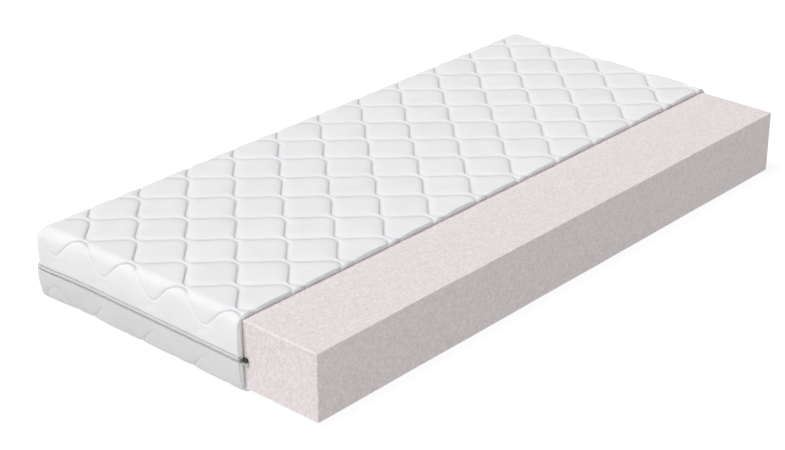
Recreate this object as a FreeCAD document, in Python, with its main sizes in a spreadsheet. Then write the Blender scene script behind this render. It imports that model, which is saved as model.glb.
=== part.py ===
"""Foam mattress with a zip-off quilted cover, shown as a cut-away sample: the cover stops at a straight
cut, and the front strip of the foam core is bare.

Frame: +X along the length, +Y from the bare front to the covered back, +Z up. The origin is the centre of
the underside of the sample's box. Millimetres.

The cover is two lids, upper and lower. Each has three layers, from the core outwards: backing, wadding and
ticking. The zip joins them along the near end (-X), the back (+Y) and the far end (+X), behind a piping.
"Out" is a distance measured outwards from the core's side faces. Plan sketches have their origin at the
middle of the core's front face.
"""
import FreeCAD, Part
import math
import os
import Sketcher
from FreeCAD import Vector

SIZES = {
    # foam core
    "core_length": 1980.0,
    "core_width": 1000.0,
    "core_height": 190.0,
    "core_edge": 2.0,           # radius of the cut foam's edges
    "core_corner": 12.0,        # plan radius that the stretched cover presses the covered corners to
    "bare_strip": 250.0,        # width of foam left bare in front of the cut
    # cover layers
    "backing_thick": 0.5,
    "wadding_thick": 12.0,
    "ticking_thick": 1.0,
    "layer_gap": 0.1,           # between neighbouring layers
    "rest_gap": 0.3,            # between the core and the lids above and below it
    "side_slack": 3.1,          # between the core's sides and the lids, where the zip's tapes lie
    "rim_radius": 26.0,         # the ticking's roll over the core's top and bottom edges
    "lining_rim": 3.0,          # the same for the thin backing, which hugs the edge
    "hem_taper": 9.5,           # the walls narrow by this much down to the hem
    # quilting
    "quilt_pitch": 88.9,        # between neighbouring stitch lines, along X
    "quilt_period": 192.0,      # of one line's wave, along Y
    "quilt_sweep": 38.0,        # of a line to each side of its middle
    "quilt_steep": 48.0,        # degrees that a line's straight runs lean from Y
    "quilt_shift": 2.1,         # of the pattern from the middle of the core, along X
    "quilt_start": 125.3,       # from the cut to the first neck in the middle column
    "thread_wide": 0.8,
    "thread_deep": 0.5,
    "thread_margin": 6.0,       # the threads end this far short of the cut and the rims
    # zip
    "zip_height": 96.0,         # of the chain's middle above the floor
    "tape_out": 2.0,
    "tape_thick": 0.8,
    "tape_wide": 16.0,
    "coil_thick": 2.0,
    "coil_wide": 2.4,
    "chain_split": 1.2,         # between the two coils, where the slider's divider runs
    "tail_length": 17.0,        # of the lower tape past the cut, with the stop on its end
    "seam_thread": 0.6,
    "seam_up": 4.0,             # of the hem's seam from the hem
    # slider, stop and pull
    "slider_length": 13.0,
    "slider_wide": 11.4,
    "slider_plate": 1.2,
    "slider_out": 0.5,          # of its back plate from the core
    "slider_flange": 1.2,
    "divider_wide": 0.7,
    "divider_long": 4.0,
    "play": 0.3,                # running clearance round the slider
    "stop_length": 2.0,
    "ear_thick": 1.0,
    "ear_long": 2.4,
    "ear_tall": 2.0,
    "pivot_in": 2.1,            # from the slider's outer end to the pull's pin
    "pin_radius": 0.6,
    "pin_play": 0.08,
    "eye_radius": 1.0,
    "pull_wide": 5.2,
    "pull_thick": 1.0,
    "pull_length": 10.6,
    # piping
    "piping_radius": 5.0,
    "piping_wall": 0.8,
    "piping_out": 16.6,         # of its middle
    "piping_up": 5.5,           # of its middle above the chain's
    "flange_thick": 0.8,
    # for cutting tools, which run past what they cut
    "overrun": 5.0,
}

PLACES = {
    "half_length": "Size.core_length / 2",
    # how far out each face of the cover's layers is, on the walls
    "backing_in": "Size.side_slack",
    "backing_out": "Place.backing_in + Size.backing_thick",
    "wadding_in": "Place.backing_out + Size.layer_gap",
    "wadding_out": "Place.wadding_in + Size.wadding_thick",
    "ticking_in": "Place.wadding_out + Size.layer_gap",
    "ticking_out": "Place.ticking_in + Size.ticking_thick",
    # the whole sample in the frame
    "cap": "Place.ticking_out - Size.side_slack + Size.rest_gap",
    "core_bottom": "Place.cap",
    "cover_top": "Size.core_height + 2 * Place.cap",
    "core_front": "-(Size.core_width + Size.piping_out + Size.piping_radius) / 2",
    "cut": "Place.core_front + Size.bare_strip",
    # the zip and the hems beside it
    "tape_face": "Size.tape_out + Size.tape_thick",
    "seam_out": "Size.tape_out - Size.seam_thread",
    "coil_out": "Place.tape_face + Size.layer_gap",
    "coil_front": "Place.coil_out + Size.coil_thick",
    "slider_front": "Place.coil_front + Size.play",
    "slider_face": "Place.slider_front + Size.slider_plate",
    "slider_half": "Size.slider_wide / 2",
    "slider_start": "Place.cut - Size.tail_length + Size.stop_length + Size.play",
    "tail_front": "Size.bare_strip - Size.tail_length + Size.stop_length",
    "lower_hem": "Size.zip_height - Place.slider_half - Size.play",
    "flange_under": "Size.zip_height + Place.slider_half + Size.play",
    "upper_hem": "Place.flange_under + Size.flange_thick + Size.layer_gap",
    "flange_out": "Size.piping_out - Size.piping_radius + Size.piping_wall / 2",
    "wrap_bore": "Size.piping_radius - Size.piping_wall",
    "filler_radius": "Place.wrap_bore - Size.layer_gap",
    "pin_out": "Place.slider_face + Size.eye_radius + Size.play",
    "pin_y": "Place.slider_start + Size.pivot_in",
    "half_split": "Size.chain_split / 2",
    "bare_overrun": "Size.bare_strip - Size.overrun",
    # quilting: the lean of the straight runs leaves this radius for the crests
    "quilt_bend": "(Size.quilt_period / 2 - 2 * Size.quilt_sweep / tan(Size.quilt_steep))"
                  " / (2 * tan(Size.quilt_steep / 2))",
    "quilt_half": "Place.half_length + Place.ticking_out - Size.rim_radius - Size.thread_margin",
    "quilt_front": "Place.cut + Size.thread_margin",
    "quilt_depth": "Size.core_width - Size.bare_strip + Place.ticking_out - Size.rim_radius"
                   " - 2 * Size.thread_margin",
}

NEAR = 1e-4
MITRE = math.sqrt(2) - 1    # a 45 degree face moved in by one moves its corner along the wall by this

doc = FreeCAD.newDocument("mattress")
nodes = {}


# Sizes and places ------------------------------------------------------------------------------------

def make_sizes():
    """The spreadsheet of driving sizes, and the set of places that follow from them."""
    sheet = doc.addObject("Spreadsheet::Sheet", "Size")
    for row, (name, value) in enumerate(SIZES.items(), start=1):
        sheet.set(f"A{row}", name)
        sheet.set(f"B{row}", str(value))
        sheet.setAlias(f"B{row}", name)
    places = doc.addObject("App::VarSet", "Place")
    for name, formula in PLACES.items():
        places.addProperty("App::PropertyFloat", name)
        places.setExpression(name, formula)
    doc.recompute()


def read(name):
    """The value of one size or place, such as Size.core_width."""
    owner, field = name.split(".")
    return float(getattr(doc.getObject(owner), field))


def total(names):
    return sum(read(name) for name in names)


# Sketches --------------------------------------------------------------------------------------------

def origin_plane(body, role):
    return next(feature for feature in body.Origin.OriginFeatures if feature.Role == role)


def new_body(name, height, node=False):
    """A body whose own origin is the middle of the core's front face, at a height above the floor."""
    body = doc.addObject("PartDesign::Body", name)
    body.setExpression("Placement.Base.y", "Place.core_front")
    body.setExpression("Placement.Base.z", height)
    if node:
        nodes[name] = body
    return body


def new_sketch(body, role="XY_Plane"):
    sketch = body.newObject("Sketcher::SketchObject", body.Name + "_sketch")
    sketch.AttachmentSupport = [(origin_plane(body, role), "")]
    sketch.MapMode = "FlatFace"
    return sketch


def drive(sketch, kind, where, names):
    """A dimension of the sketch, bound to the sum of some sizes and places."""
    index = sketch.addConstraint(Sketcher.Constraint(kind, *where, total(names)))
    sketch.setExpression(f"Constraints[{index}]", " + ".join(names))


def relate(sketch, kind, *where):
    sketch.addConstraint(Sketcher.Constraint(kind, *where))


def add_line(sketch, start, end):
    return sketch.addGeometry(Part.LineSegment(Vector(*start, 0), Vector(*end, 0)), False)


def add_corner(sketch, centre, radius, start_angle):
    circle = Part.Circle(Vector(*centre, 0), Vector(0, 0, 1), radius)
    arc = Part.ArcOfCircle(circle, math.radians(start_angle), math.radians(start_angle + 90))
    return sketch.addGeometry(arc, False)


def add_u(sketch, out, near_front="Size.bare_strip", far_front="Size.bare_strip"):
    """An open U round the covered part of the core: the near wall, the back and the far wall.

    Returns its two walls: the U starts at point 1 of the first and ends at point 2 of the second.
    """
    side = total(("Place.half_length", out))
    back = total(("Size.core_width", out))
    corner = total(("Size.core_corner", out))
    near_wall = add_line(sketch, (-side, read(near_front)), (-side, back - corner))
    near_corner = add_corner(sketch, (corner - side, back - corner), corner, 90)
    back_wall = add_line(sketch, (corner - side, back), (side - corner, back))
    far_corner = add_corner(sketch, (side - corner, back - corner), corner, 0)
    far_wall = add_line(sketch, (side, back - corner), (side, read(far_front)))
    relate(sketch, "Tangent", near_wall, 2, near_corner, 2)
    relate(sketch, "Tangent", near_corner, 1, back_wall, 1)
    relate(sketch, "Tangent", back_wall, 2, far_corner, 2)
    relate(sketch, "Tangent", far_corner, 1, far_wall, 1)
    relate(sketch, "Vertical", near_wall)
    relate(sketch, "Horizontal", back_wall)
    relate(sketch, "Vertical", far_wall)
    drive(sketch, "DistanceX", (near_wall, 1, -1, 1), ("Place.half_length", out))
    drive(sketch, "DistanceX", (-1, 1, far_wall, 2), ("Place.half_length", out))
    drive(sketch, "DistanceY", (-1, 1, back_wall, 1), ("Size.core_width", out))
    drive(sketch, "DistanceY", (-1, 1, near_wall, 1), (near_front,))
    drive(sketch, "DistanceY", (-1, 1, far_wall, 2), (far_front,))
    drive(sketch, "Radius", (near_corner,), ("Size.core_corner", out))
    relate(sketch, "Equal", near_corner, far_corner)
    return near_wall, far_wall


def join_ends(sketch, first, first_end, second, second_end):
    """A straight line between the ends of two chains."""
    start = sketch.getPoint(first, first_end)
    end = sketch.getPoint(second, second_end)
    line = add_line(sketch, (start.x, start.y), (end.x, end.y))
    relate(sketch, "Coincident", line, 1, first, first_end)
    relate(sketch, "Coincident", line, 2, second, second_end)


def pad(body, sketch, length, reverse=False):
    feature = body.newObject("PartDesign::Pad", body.Name + "_pad")
    feature.Profile = sketch
    feature.setExpression("Length", length)
    feature.Reversed = reverse
    sketch.Visibility = False
    doc.recompute()
    return feature


def rim_edges(solid, height, front):
    """The names of the edges that lie at one height of a body, without those at its front."""
    names = []
    for number, edge in enumerate(solid.Edges, start=1):
        box = edge.BoundBox
        level = abs(box.ZMin - height) < NEAR and abs(box.ZMax - height) < NEAR
        if level and box.YMax > front + NEAR:
            names.append(f"Edge{number}")
    return names


# Foam core -------------------------------------------------------------------------------------------

def make_core():
    """A plain slab with its cut edges eased, and its two covered corners pressed round."""
    body = new_body("foam_core", "Place.core_bottom", node=True)
    sketch = new_sketch(body)
    side = read("Place.half_length")
    back = read("Size.core_width")
    corner = read("Size.core_corner")
    front = add_line(sketch, (-side, 0), (side, 0))
    far = add_line(sketch, (side, 0), (side, back - corner))
    far_corner = add_corner(sketch, (side - corner, back - corner), corner, 0)
    rear = add_line(sketch, (side - corner, back), (corner - side, back))
    near_corner = add_corner(sketch, (corner - side, back - corner), corner, 90)
    near = add_line(sketch, (-side, back - corner), (-side, 0))
    relate(sketch, "Coincident", front, 2, far, 1)
    relate(sketch, "Tangent", far, 2, far_corner, 1)
    relate(sketch, "Tangent", far_corner, 2, rear, 1)
    relate(sketch, "Tangent", rear, 2, near_corner, 1)
    relate(sketch, "Tangent", near_corner, 2, near, 1)
    relate(sketch, "Coincident", near, 2, front, 1)
    relate(sketch, "PointOnObject", front, 1, -1)
    relate(sketch, "Horizontal", front)
    relate(sketch, "Vertical", far)
    relate(sketch, "Horizontal", rear)
    relate(sketch, "Vertical", near)
    drive(sketch, "DistanceX", (front, 1, -1, 1), ("Place.half_length",))
    drive(sketch, "DistanceX", (front, 1, front, 2), ("Size.core_length",))
    drive(sketch, "DistanceY", (-1, 1, rear, 1), ("Size.core_width",))
    drive(sketch, "Radius", (near_corner,), ("Size.core_corner",))
    relate(sketch, "Equal", near_corner, far_corner)
    block = pad(body, sketch, "Size.core_height")
    sharp = []
    for number, edge in enumerate(block.Shape.Edges, start=1):
        box = edge.BoundBox
        upright = box.ZLength > 1 and box.YMax > 1
        if not upright:
            sharp.append(f"Edge{number}")
    eased = body.newObject("PartDesign::Fillet", "foam_core_edges")
    eased.Base = (block, sharp)
    eased.setExpression("Radius", "Size.core_edge")
    doc.recompute()


# Cover lids ------------------------------------------------------------------------------------------

def lid_block(name, upper, out, rim, taper=None, tool=False):
    """A lid's solid outline at a distance out, from its hem to its cap, rounded along the rim.

    A tool is the same solid run on past the hem and the cut, to hollow another one.
    """
    overrun = " + Size.overrun" if tool else ""
    reach = f"(Size.core_height + 2 * ({out} - Size.side_slack + Size.rest_gap)) / 2"
    middle = "Place.cover_top / 2"
    if upper:
        base = f"Place.upper_hem - (0{overrun})"
        length = f"{middle} + {reach} - Place.upper_hem{overrun}"
    else:
        base = f"Place.lower_hem{overrun}"
        length = f"Place.lower_hem - {middle} + {reach}{overrun}"
    front = "Place.bare_overrun" if tool else "Size.bare_strip"
    body = new_body(name, base)
    sketch = new_sketch(body)
    near_wall, far_wall = add_u(sketch, out, front, front)
    join_ends(sketch, far_wall, 2, near_wall, 1)
    block = pad(body, sketch, length, reverse=not upper)
    cap = block.Length.Value if upper else -block.Length.Value
    rounded = body.newObject("PartDesign::Fillet", name + "_rim")
    rounded.Base = (block, rim_edges(block.Shape, cap, read(front)))
    rounded.setExpression("Radius", rim)
    doc.recompute()
    if taper:
        tapered = body.newObject("PartDesign::Chamfer", name + "_taper")
        tapered.Base = (rounded, rim_edges(rounded.Shape, 0, read(front)))
        tapered.setExpression("Size", f"{taper}{overrun}")
        doc.recompute()
    return body


def hollow(name, block, tool):
    shell = doc.addObject("Part::Cut", name)
    shell.Base = block
    shell.Tool = tool
    doc.recompute()
    return shell


def make_lid(side):
    """The three layers of one lid. The wadding thins away towards the hem, and the ticking follows it."""
    upper = side == "upper"
    taper = "Size.hem_taper"
    inner_rim = "Size.rim_radius - Size.ticking_thick"
    wadding_rim = f"{inner_rim} - Size.layer_gap"
    lining_rim = "Size.lining_rim + Size.backing_thick"
    ticking = hollow(
        f"{side}_ticking_shell",
        lid_block(f"{side}_ticking_block", upper, "Place.ticking_out", "Size.rim_radius", taper),
        lid_block(f"{side}_ticking_tool", upper, "Place.ticking_in", inner_rim,
                  f"{taper} + {MITRE} * Size.ticking_thick", tool=True))
    nodes[f"{side}_wadding"] = hollow(
        f"{side}_wadding",
        lid_block(f"{side}_wadding_block", upper, "Place.wadding_out", wadding_rim,
                  f"{taper} + {MITRE} * (Size.ticking_thick + Size.layer_gap)"),
        lid_block(f"{side}_wadding_tool", upper, "Place.wadding_in",
                  f"{lining_rim} + Size.layer_gap", tool=True))
    nodes[f"{side}_backing"] = hollow(
        f"{side}_backing",
        lid_block(f"{side}_backing_block", upper, "Place.backing_out", lining_rim),
        lid_block(f"{side}_backing_tool", upper, "Place.backing_in", "Size.lining_rim", tool=True))
    quilting = make_quilting(side)
    nodes[f"{side}_quilting_thread"] = quilting
    nodes[f"{side}_ticking"] = hollow(f"{side}_ticking", ticking, quilting)


# Quilting --------------------------------------------------------------------------------------------

def wave_edge(middle, lean, offset, first_crest, crests):
    """One edge of a stitch line: crest arcs joined by straight runs, at an offset to the line's right."""
    sweep = read("Size.quilt_sweep")
    bend = read("Place.quilt_bend")
    steep = math.radians(read("Size.quilt_steep"))
    half_period = read("Size.quilt_period") / 2
    edges = []
    last = None
    for crest in range(crests):
        way = lean * (-1) ** crest
        centre = Vector(middle + way * (sweep - bend), first_crest + crest * half_period, 0)
        radius = bend + way * offset
        across = way * radius * math.cos(steep)
        along = radius * math.sin(steep)
        start = centre + Vector(across, -along, 0)
        top = centre + Vector(way * radius, 0, 0)
        end = centre + Vector(across, along, 0)
        if last:
            edges.append(Part.LineSegment(last, start).toShape())
        edges.append(Part.Arc(start, top, end).toShape())
        last = end
    return edges


def stitch_ribbon(middle, lean, first_crest, crests):
    """The flat ribbon of thread along one stitch line."""
    half = read("Size.thread_wide") / 2
    right = wave_edge(middle, lean, half, first_crest, crests)
    left = wave_edge(middle, lean, -half, first_crest, crests)
    start = Part.LineSegment(left[0].firstVertex().Point, right[0].firstVertex().Point).toShape()
    end = Part.LineSegment(left[-1].lastVertex().Point, right[-1].lastVertex().Point).toShape()
    outline = Part.Wire(Part.__sortEdges__(right + [end] + left + [start]))
    return Part.Face(outline).extrude(Vector(0, 0, read("Size.thread_deep")))


def make_quilting(side):
    """The stitch lines of one lid: waves along Y whose neighbours mirror each other and almost meet.

    They lie flush in the outer face of the ticking, and end short of its rims.
    """
    pitch = read("Size.quilt_pitch")
    half_period = read("Size.quilt_period") / 2
    half_span = read("Place.quilt_half") + read("Size.quilt_sweep")
    lines = math.ceil(half_span / pitch) + 1
    neck = read("Size.bare_strip") + read("Size.quilt_start")
    before = math.ceil(read("Size.quilt_start") / half_period) + 1
    after = math.ceil((read("Size.core_width") + read("Place.ticking_out") - neck) / half_period) + 1
    ribbons = []
    for number in range(-lines, lines):
        middle = read("Size.quilt_shift") + (number + 0.5) * pitch
        lean = (-1) ** (number + before + 1)
        ribbons.append(stitch_ribbon(middle, lean, neck - before * half_period, before + after))
    waves = doc.addObject("Part::Feature", f"{side}_waves")
    waves.Shape = Part.Compound(ribbons)
    waves.setExpression("Placement.Base.y", "Place.core_front")
    field = doc.addObject("Part::Box", f"{side}_quilting_field")
    field.setExpression("Length", "2 * Place.quilt_half")
    field.setExpression("Width", "Place.quilt_depth")
    field.setExpression("Height", "Size.thread_deep")
    field.setExpression("Placement.Base.x", "-Place.quilt_half")
    field.setExpression("Placement.Base.y", "Place.quilt_front")
    if side == "upper":
        for piece in (waves, field):
            piece.setExpression("Placement.Base.z", "Place.cover_top - Size.thread_deep")
    threads = doc.addObject("Part::Common", f"{side}_quilting_thread")
    threads.Base = waves
    threads.Tool = field
    doc.recompute()
    return threads


# Zip and piping --------------------------------------------------------------------------------------

def make_band(name, inner, outer, low, height, near_front="Size.bare_strip"):
    """An upright strip round the covered part of the core, between two distances out."""
    body = new_body(name, low, node=True)
    sketch = new_sketch(body)
    inner_near, inner_far = add_u(sketch, inner, near_front)
    outer_near, outer_far = add_u(sketch, outer, near_front)
    join_ends(sketch, inner_near, 1, outer_near, 1)
    join_ends(sketch, inner_far, 2, outer_far, 2)
    pad(body, sketch, height)
    return body


def make_zip():
    above = "Size.zip_height + Place.half_split"
    below = "Size.zip_height - Place.half_split"
    make_band("upper_zip_tape", "Size.tape_out", "Place.tape_face", above, "Size.tape_wide")
    make_band("lower_zip_tape", "Size.tape_out", "Place.tape_face", f"{below} - Size.tape_wide",
              "Size.tape_wide", near_front="Place.tail_front")
    make_band("upper_zip_coil", "Place.coil_out", "Place.coil_front", above, "Size.coil_wide")
    make_band("lower_zip_coil", "Place.coil_out", "Place.coil_front", f"{below} - Size.coil_wide",
              "Size.coil_wide", near_front="Place.tail_front")
    make_band("upper_hem_thread", "Place.seam_out", "Size.tape_out",
              "Place.upper_hem + Size.seam_up", "Size.seam_thread")
    make_band("lower_hem_thread", "Place.seam_out", "Size.tape_out",
              "Place.lower_hem - Size.seam_up - Size.seam_thread", "Size.seam_thread")


def add_ring(body, radii):
    """A sketch of circles round the piping's middle line, on the plane of the cut."""
    sketch = new_sketch(body, "XZ_Plane")
    sketch.setExpression("AttachmentOffset.Base.z", "-Size.bare_strip")
    centre = total(("Place.half_length", "Size.piping_out"))
    circles = []
    for names in radii:
        circle = Part.Circle(Vector(-centre, 0, 0), Vector(0, 0, 1), total(names))
        circles.append(sketch.addGeometry(circle, False))
    for circle, names in zip(circles, radii):
        drive(sketch, "Radius", (circle,), names)
        relate(sketch, "PointOnObject", circle, 3, -1)
        drive(sketch, "DistanceX", (circle, 3, -1, 1), ("Place.half_length", "Size.piping_out"))
    return sketch


def sweep_round(name, radii):
    """A round piece, hollow if it has two radii, swept round the cover along the piping's middle line."""
    body = new_body(name, "Size.zip_height + Size.piping_up", node=True)
    ring = add_ring(body, radii)
    path = new_sketch(body)
    add_u(path, "Size.piping_out")
    doc.recompute()
    roll = body.newObject("PartDesign::AdditivePipe", name + "_roll")
    roll.Profile = ring
    roll.Spine = (path, [f"Edge{number}" for number in range(1, 6)])
    doc.recompute()
    return body


def make_piping():
    """A filler cord in a folded wrap, whose flange lies under the upper lid's hem."""
    sweep_round("piping_cord", [("Place.filler_radius",)])
    wrap = sweep_round("piping_wrap", [("Size.piping_radius",), ("Place.wrap_bore",)])
    sketch = new_sketch(wrap)
    sketch.setExpression("AttachmentOffset.Base.z",
                         "Place.flange_under - Size.zip_height - Size.piping_up")
    inner_near, inner_far = add_u(sketch, "Place.coil_out")
    outer_near, outer_far = add_u(sketch, "Place.flange_out")
    join_ends(sketch, inner_near, 1, outer_near, 1)
    join_ends(sketch, inner_far, 2, outer_far, 2)
    pad(wrap, sketch, "Size.flange_thick")


# Slider, stop and pull -------------------------------------------------------------------------------

def out_box(name, out, along, up):
    """A box on the near end. Each pair is the two ends of a span: out, along Y and up, as formulas."""
    box = doc.addObject("Part::Box", name)
    box.setExpression("Length", f"({out[1]}) - ({out[0]})")
    box.setExpression("Width", f"({along[1]}) - ({along[0]})")
    box.setExpression("Height", f"({up[1]}) - ({up[0]})")
    box.setExpression("Placement.Base.x", f"-Place.half_length - ({out[1]})")
    box.setExpression("Placement.Base.y", along[0])
    box.setExpression("Placement.Base.z", up[0])
    return box


def upright_pin(name, radius, up):
    """A cylinder along the pull's hinge line."""
    pin = doc.addObject("Part::Cylinder", name)
    pin.setExpression("Radius", radius)
    pin.setExpression("Height", f"({up[1]}) - ({up[0]})")
    pin.setExpression("Placement.Base.x", "-Place.half_length - Place.pin_out")
    pin.setExpression("Placement.Base.y", "Place.pin_y")
    pin.setExpression("Placement.Base.z", up[0])
    return pin


def fuse(name, pieces):
    whole = doc.addObject("Part::MultiFuse", name)
    whole.Shapes = pieces
    doc.recompute()
    return whole


def make_slider():
    """Two plates joined by the divider, with flanges that keep the coils in, and ears for the pull."""
    start = "Place.slider_start"
    end = "Place.slider_start + Size.slider_length"
    middle = "Size.zip_height"
    whole = (f"{middle} - Place.slider_half", f"{middle} + Place.slider_half")
    back = ("Size.slider_out", "Size.slider_out + Size.slider_plate")
    front = ("Place.slider_front", "Place.slider_face")
    flange = ("Place.tape_face + Size.play", "Place.slider_front")
    flange_low = f"{whole[0]} + Size.slider_flange"
    flange_high = f"{whole[1]} - Size.slider_flange"
    divider_up = (f"{middle} - Size.divider_wide / 2", f"{middle} + Size.divider_wide / 2")
    pieces = [
        out_box("slider_back", back, (start, end), whole),
        out_box("slider_front_plate", front, (start, end), whole),
        out_box("slider_divider", (back[1], front[0]), (f"{end} - Size.divider_long", end), divider_up),
        out_box("slider_lower_flange", flange, (start, end), (whole[0], flange_low)),
        out_box("slider_upper_flange", flange, (start, end), (flange_high, whole[1])),
    ]
    ear_out = (front[1], "Place.slider_face + Size.play + Size.ear_tall")
    ear_along = ("Place.pin_y - Size.ear_long / 2", "Place.pin_y + Size.ear_long / 2")
    inside = "Size.pull_wide / 2 + Size.play"
    outside = f"{inside} + Size.ear_thick"
    low, low_face = f"{middle} - ({outside})", f"{middle} - ({inside})"
    high_face, high = f"{middle} + {inside}", f"{middle} + {outside}"
    pieces.append(out_box("lower_ear", ear_out, ear_along, (low, low_face)))
    pieces.append(out_box("upper_ear", ear_out, ear_along, (high_face, high)))
    pieces.append(upright_pin("pull_pin", "Size.pin_radius", (low, high)))
    nodes["zip_slider"] = fuse("zip_slider", pieces)


def make_pull():
    """A flat tab with an eye round the slider's pin."""
    middle = "Size.zip_height"
    up = (f"{middle} - Size.pull_wide / 2", f"{middle} + Size.pull_wide / 2")
    out = ("Place.pin_out - Size.pull_thick / 2", "Place.pin_out + Size.pull_thick / 2")
    tab = out_box("pull_plate", out, ("Place.pin_y", "Place.pin_y + Size.pull_length"), up)
    eye = upright_pin("pull_eye", "Size.eye_radius", up)
    bore = upright_pin("pull_bore", "Size.pin_radius + Size.pin_play", up)
    nodes["zip_pull_tab"] = hollow("zip_pull_tab", fuse("pull_solid", [tab, eye]), bore)


def make_stop():
    """The moulded stop on the end of the lower tape's tail."""
    start = "Place.cut - Size.tail_length"
    low = "Size.zip_height - Place.half_split - Size.coil_wide - Size.play"
    high = "Size.zip_height + Place.half_split"
    nodes["zip_end_stop"] = out_box("zip_end_stop", ("Size.tape_out - Size.play", "Place.slider_front"),
                                    (start, f"{start} + Size.stop_length"), (low, high))


# Checks and files ------------------------------------------------------------------------------------

def check_document():
    """Stops if any object failed, or any sub-part is empty or faulty."""
    for thing in doc.Objects:
        failed = {"Invalid", "Error"} & set(thing.State)
        if failed:
            raise RuntimeError(f"{thing.Name}: {failed}")
    for name, thing in nodes.items():
        shape = thing.Shape
        if shape.isNull() or not shape.isValid() or shape.Volume <= 0:
            raise RuntimeError(f"{name} is empty or faulty")


def write_parts():
    os.makedirs("parts", exist_ok=True)
    for name, thing in nodes.items():
        thing.Label = name
        thing.Shape.exportStep(os.path.join("parts", name + ".step"))
        print(f"{name:24s} {len(thing.Shape.Solids):3d} solids {thing.Shape.Volume:14.1f} mm3")


make_sizes()
make_core()
make_lid("upper")
make_lid("lower")
make_zip()
make_piping()
make_slider()
make_pull()
make_stop()
doc.recompute()
check_document()
write_parts()
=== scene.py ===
"""The looks of the foam mattress: a foam block in a zip-off quilted cover, cut away along its front.

Frame as in the CAD model: +X along the length, +Y from the bare front to the covered back, +Z up. Metres.
Each lid of the cover is one net of points. A point of the net lies at a distance along the cloth from the
lid's corner centres ("reach"), which a profile turns into a place on the panel, the rim or the wall.
"""
import math

import bpy
import numpy as np
from mathutils import Matrix, Vector


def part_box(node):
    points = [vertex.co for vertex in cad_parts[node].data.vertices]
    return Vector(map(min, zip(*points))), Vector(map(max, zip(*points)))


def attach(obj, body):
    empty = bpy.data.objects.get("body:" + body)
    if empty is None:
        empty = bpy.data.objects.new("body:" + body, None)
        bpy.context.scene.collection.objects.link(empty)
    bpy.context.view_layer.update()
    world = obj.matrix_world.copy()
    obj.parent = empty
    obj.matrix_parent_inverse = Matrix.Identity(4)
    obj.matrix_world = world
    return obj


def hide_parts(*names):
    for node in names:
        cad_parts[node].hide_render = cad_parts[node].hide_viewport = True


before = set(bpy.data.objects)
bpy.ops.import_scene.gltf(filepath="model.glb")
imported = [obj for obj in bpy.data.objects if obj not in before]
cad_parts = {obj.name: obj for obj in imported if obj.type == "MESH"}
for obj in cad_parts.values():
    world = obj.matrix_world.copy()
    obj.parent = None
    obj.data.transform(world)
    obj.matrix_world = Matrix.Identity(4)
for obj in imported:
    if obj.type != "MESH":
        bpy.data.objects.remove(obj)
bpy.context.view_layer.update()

# --- Places from the frame
CORE_LOW, CORE_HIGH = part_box("foam_core")
UPPER_LOW, UPPER_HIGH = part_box("upper_ticking")
LOWER_LOW, LOWER_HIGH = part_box("lower_ticking")
ROLL_LOW, ROLL_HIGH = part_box("piping_cord")
CUT = UPPER_LOW.y
SEED = 7

# The cover's build-up
CORNER = 0.0288  # plan radius of the ticking round the back corners
LAYERS = 0.0137  # of backing, wadding and ticking together
TICKING = 0.0010
BACKING = 0.0005
LINING_RIM = 0.0035
# How far each wall draws in at its hem, and the heights above the hem where that starts and ends
TUCK = {"upper": (0.0046, 0.0049, 0.0039), "lower": (0.0030, 0.0100, 0.0)}
HEM_STRIP = TUCK["upper"][1]  # height of the strip along the hem with its own columns
LIP = {"upper": 0.0, "lower": 0.0055}  # of the ticking above the wadding, along the hem

# The quilting: mirrored waves along Y, in antiphase, that almost meet at their crests
PITCH = 0.0889
PERIOD = 0.192
SWEEP = 0.038
STEEP = math.radians(48)
FIRST_X = 0.0021
FIRST_Y = CUT + 0.1253
BEND = (PERIOD / 2 - 2 * SWEEP / math.tan(STEEP)) / (2 * math.tan(STEEP / 2))


# --- Small mesh helpers

def places_of(mesh):
    """The places of a mesh's points."""
    places = np.empty(3 * len(mesh.vertices), np.float32)
    mesh.vertices.foreach_get("co", places)
    return places.reshape(-1, 3)


def volume_of(mesh):
    """The signed volume inside a closed mesh: negative if its faces look inwards."""
    mesh.calc_loop_triangles()
    corners = np.empty(3 * len(mesh.loop_triangles), np.int32)
    mesh.loop_triangles.foreach_get("vertices", corners)
    a, b, c = np.moveaxis(places_of(mesh)[corners.reshape(-1, 3)].astype(float), 1, 0)
    return float(np.einsum("ij,ij->i", a, np.cross(b, c)).sum() / 6)


def add_object(name, data):
    """A new object in the scene."""
    thing = bpy.data.objects.new(name, data)
    bpy.context.scene.collection.objects.link(thing)
    return thing


def make_piece(name, points, faces, material, body, slot, node, attributes=None):
    """A closed mesh object that rides on a body in place of a CAD node, with named floats on its points."""
    mesh = bpy.data.meshes.new(name)
    mesh.from_pydata(points, [], faces)
    mesh.update()
    if volume_of(mesh) < 0:
        mesh.flip_normals()
    mesh.shade_smooth()
    for key, values in (attributes or {}).items():
        layer = mesh.attributes.new(key, "FLOAT", "POINT")
        layer.data.foreach_set("value", np.asarray(values, np.float32))
    mesh.materials.append(material)
    piece = add_object(name, mesh)
    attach(piece, body)
    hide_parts(node)
    return piece


def quads(grid):
    """The faces between the rows and columns of a grid of point numbers."""
    a, b = grid[:-1, :-1].ravel(), grid[:-1, 1:].ravel()
    c, d = grid[1:, 1:].ravel(), grid[1:, :-1].ravel()
    return [tuple(dict.fromkeys(corners)) for corners in np.stack([a, b, c, d], 1).tolist()]


def capped(rows, count):
    """Faces of a skin through rows of closed loops of so many points, with a cap on each end."""
    numbers = np.arange(rows * count).reshape(rows, count)
    faces = quads(np.concatenate([numbers, numbers[:, :1]], 1))
    return faces + [tuple(numbers[0, ::-1].tolist()), tuple(numbers[-1].tolist())]


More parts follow.
